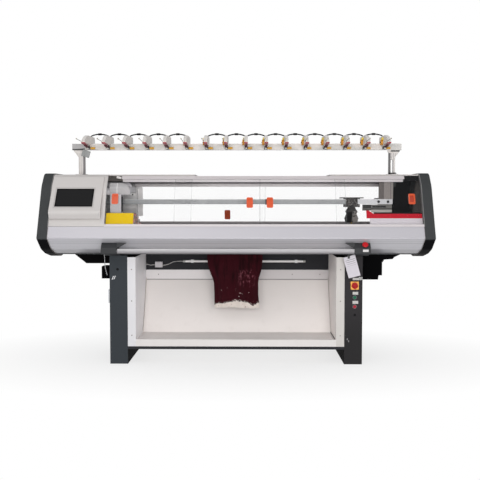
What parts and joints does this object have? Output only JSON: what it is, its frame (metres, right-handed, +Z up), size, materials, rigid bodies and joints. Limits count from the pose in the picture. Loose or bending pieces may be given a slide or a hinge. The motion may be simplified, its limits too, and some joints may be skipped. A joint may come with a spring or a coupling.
{
  "type": "flat knitting machine",
  "caption": "Flat knitting machine with clear sliding doors, a travelling carriage, yarn carriers, tension units on a rail, take-down rollers and a fabric box between two cabinet legs.",
  "frame": {"origin": "on the floor, under the middle of the head", "axes": "+X along the needle beds to the operator's right, -Y towards the operator, +Z up"},
  "size_m": [2.7, 0.7936, 1.6217],
  "materials": {
    "cap_plastic": "satin",
    "apron_paint": "satin",
    "cover_paint": "satin",
    "pod_plastic": "satin",
    "screen": "gloss",
    "beam_paint": "satin",
    "track_metal": "satin",
    "clear_door": "gloss",
    "orange_plastic": "gloss",
    "cast_base": "painted",
    "bed_steel": "ground",
    "way_steel": "ground",
    "roller_rubber": "matt",
    "carriage_paint": "painted",
    "cam_steel": "ground",
    "rail_metal": "satin",
    "bracket_paint": "satin",
    "clamp_metal": "satin",
    "carrier_steel": "satin",
    "yellow_sheet": "satin",
    "pale_sheet": "satin",
    "red_band": "satin",
    "clamp_plastic": "satin",
    "dark_sheet": "matt",
    "leg_paint": "satin",
    "white_sheet": "satin",
    "bar_paint": "painted",
    "bracket_plastic": "satin",
    "red_plastic": "gloss",
    "switch_yellow": "satin",
    "ring_metal": "polished",
    "green_plastic": "gloss",
    "lamp_white": "satin",
    "knit_fabric": "knitted",
    "yarn_rail_paint": "satin",
    "unit_plastic": "satin",
    "lead_rubber": "satin",
    "housing_paint": "matt"
  },
  "bodies": {
    "frame": {"end_caps": "cap_plastic", "aprons": "apron_paint", "console_pod": "pod_plastic", "touch_screen": "screen", "top_covers": "cover_paint", "top_beams": "beam_paint", "door_tracks": "track_metal", "base_casting": "cast_base", "carriage_ways": "way_steel", "front_bed": "bed_steel", "feeder_rails": "rail_metal", "rail_brackets": "bracket_paint", "rail_end_blocks": "clamp_metal", "left_guard": "yellow_sheet", "right_guard": "pale_sheet", "bumper_band": "red_band", "yarn_clamps": "clamp_plastic", "inner_sheets": "dark_sheet", "legs": "leg_paint", "frame_sheets": "dark_sheet", "fabric_box": "white_sheet", "side_panels": "white_sheet", "bar_brackets": "bracket_plastic", "switch_plate": "switch_yellow", "button_rings": "ring_metal", "lamp": "lamp_white", "lamp_junction": "lamp_white", "lamp_lead": "lamp_white", "fabric": "knit_fabric", "yarn_rail": "yarn_rail_paint", "tension_units": "unit_plastic", "tension_leads": "lead_rubber", "drive_housings": "housing_paint"},
    "door_1": {"door_1": "clear_door", "door_1_handle": "orange_plastic"},
    "door_2": {"door_2": "clear_door", "door_2_handle": "orange_plastic"},
    "door_3": {"door_3": "clear_door", "door_3_handle": "orange_plastic"},
    "door_4": {"door_4": "clear_door", "door_4_handle": "orange_plastic"},
    "rear_door_1": {"rear_door_1": "clear_door", "rear_door_1_handle": "orange_plastic"},
    "rear_door_2": {"rear_door_2": "clear_door", "rear_door_2_handle": "orange_plastic"},
    "carriage": {"carriage": "carriage_paint", "cam_boxes": "cam_steel"},
    "yarn_carrier_1": {"yarn_carrier_1": "carrier_steel"},
    "yarn_carrier_2": {"yarn_carrier_2": "carrier_steel"},
    "yarn_carrier_3": {"yarn_carrier_3": "carrier_steel"},
    "yarn_carrier_4": {"yarn_carrier_4": "carrier_steel"},
    "rear_bed": {"rear_bed": "bed_steel"},
    "front_roller": {"front_roller": "roller_rubber"},
    "rear_roller": {"rear_roller": "roller_rubber"},
    "start_bar": {"start_bar": "bar_paint"},
    "stop_button": {"stop_button": "red_plastic"},
    "switch_knob": {"switch_knob": "red_plastic"},
    "green_button": {"green_button": "green_plastic"},
    "red_button": {"red_button": "red_plastic"}
  },
  "joints": [
    {"name": "door_1_slide", "type": "slide", "parent": "frame", "child": "door_1", "axis": [1, 0, 0], "range_m": [0, 0.48]},
    {"name": "door_2_slide", "type": "slide", "parent": "frame", "child": "door_2", "axis": [1, 0, 0], "range_m": [-0.469, 0]},
    {"name": "door_3_slide", "type": "slide", "parent": "frame", "child": "door_3", "axis": [1, 0, 0], "range_m": [0, 0.518]},
    {"name": "door_4_slide", "type": "slide", "parent": "frame", "child": "door_4", "axis": [1, 0, 0], "range_m": [-0.48, 0]},
    {"name": "rear_door_1_slide", "type": "slide", "parent": "frame", "child": "rear_door_1", "axis": [1, 0, 0], "range_m": [0, 1.06]},
    {"name": "rear_door_2_slide", "type": "slide", "parent": "frame", "child": "rear_door_2", "axis": [1, 0, 0], "range_m": [-1.06, 0]},
    {"name": "carriage_slide", "type": "slide", "parent": "frame", "child": "carriage", "axis": [1, 0, 0], "range_m": [0, 1.69]},
    {"name": "yarn_carrier_1_slide", "type": "slide", "parent": "frame", "child": "yarn_carrier_1", "axis": [1, 0, 0], "range_m": [-1.45, 0.08]},
    {"name": "yarn_carrier_2_slide", "type": "slide", "parent": "frame", "child": "yarn_carrier_2", "axis": [1, 0, 0], "range_m": [-1.45, 0.08]},
    {"name": "yarn_carrier_3_slide", "type": "slide", "parent": "frame", "child": "yarn_carrier_3", "axis": [1, 0, 0], "range_m": [-1.45, 0.08]},
    {"name": "yarn_carrier_4_slide", "type": "slide", "parent": "frame", "child": "yarn_carrier_4", "axis": [1, 0, 0], "range_m": [-1.45, 0.08]},
    {"name": "rear_bed_rack", "type": "slide", "parent": "frame", "child": "rear_bed", "axis": [1, 0, 0], "range_m": [-0.025, 0.025]},
    {"name": "front_roller_spin", "type": "hinge", "parent": "frame", "child": "front_roller", "pos_m": [0, -0.0241, 0.806], "axis": [1, 0, 0], "continuous": true},
    {"name": "rear_roller_spin", "type": "hinge", "parent": "frame", "child": "rear_roller", "pos_m": [0, 0.0241, 0.806], "axis": [1, 0, 0], "continuous": true},
    {"name": "start_bar_turn", "type": "hinge", "parent": "frame", "child": "start_bar", "pos_m": [0, -0.358, 0.792], "axis": [1, 0, 0], "range_deg": [-12, 12], "stiffness_Nm_per_rad": 2},
    {"name": "stop_button_push", "type": "slide", "parent": "frame", "child": "stop_button", "axis": [0, 0.7071, -0.7071], "range_m": [0, 0.005]},
    {"name": "switch_knob_turn", "type": "hinge", "parent": "frame", "child": "switch_knob", "pos_m": [0.822, -0.273, 0.55], "axis": [0, 1, 0], "range_deg": [0, 90]},
    {"name": "green_button_push", "type": "slide", "parent": "frame", "child": "green_button", "axis": [0, 1, 0], "range_m": [0, 0.0035], "stiffness_N_per_m": 300},
    {"name": "red_button_push", "type": "slide", "parent": "frame", "child": "red_button", "axis": [0, 1, 0], "range_m": [0, 0.0035], "stiffness_N_per_m": 300}
  ],
  "couplings": [
    {"joint": "rear_roller_spin", "follows": "front_roller_spin", "ratio": -1}
  ]
}
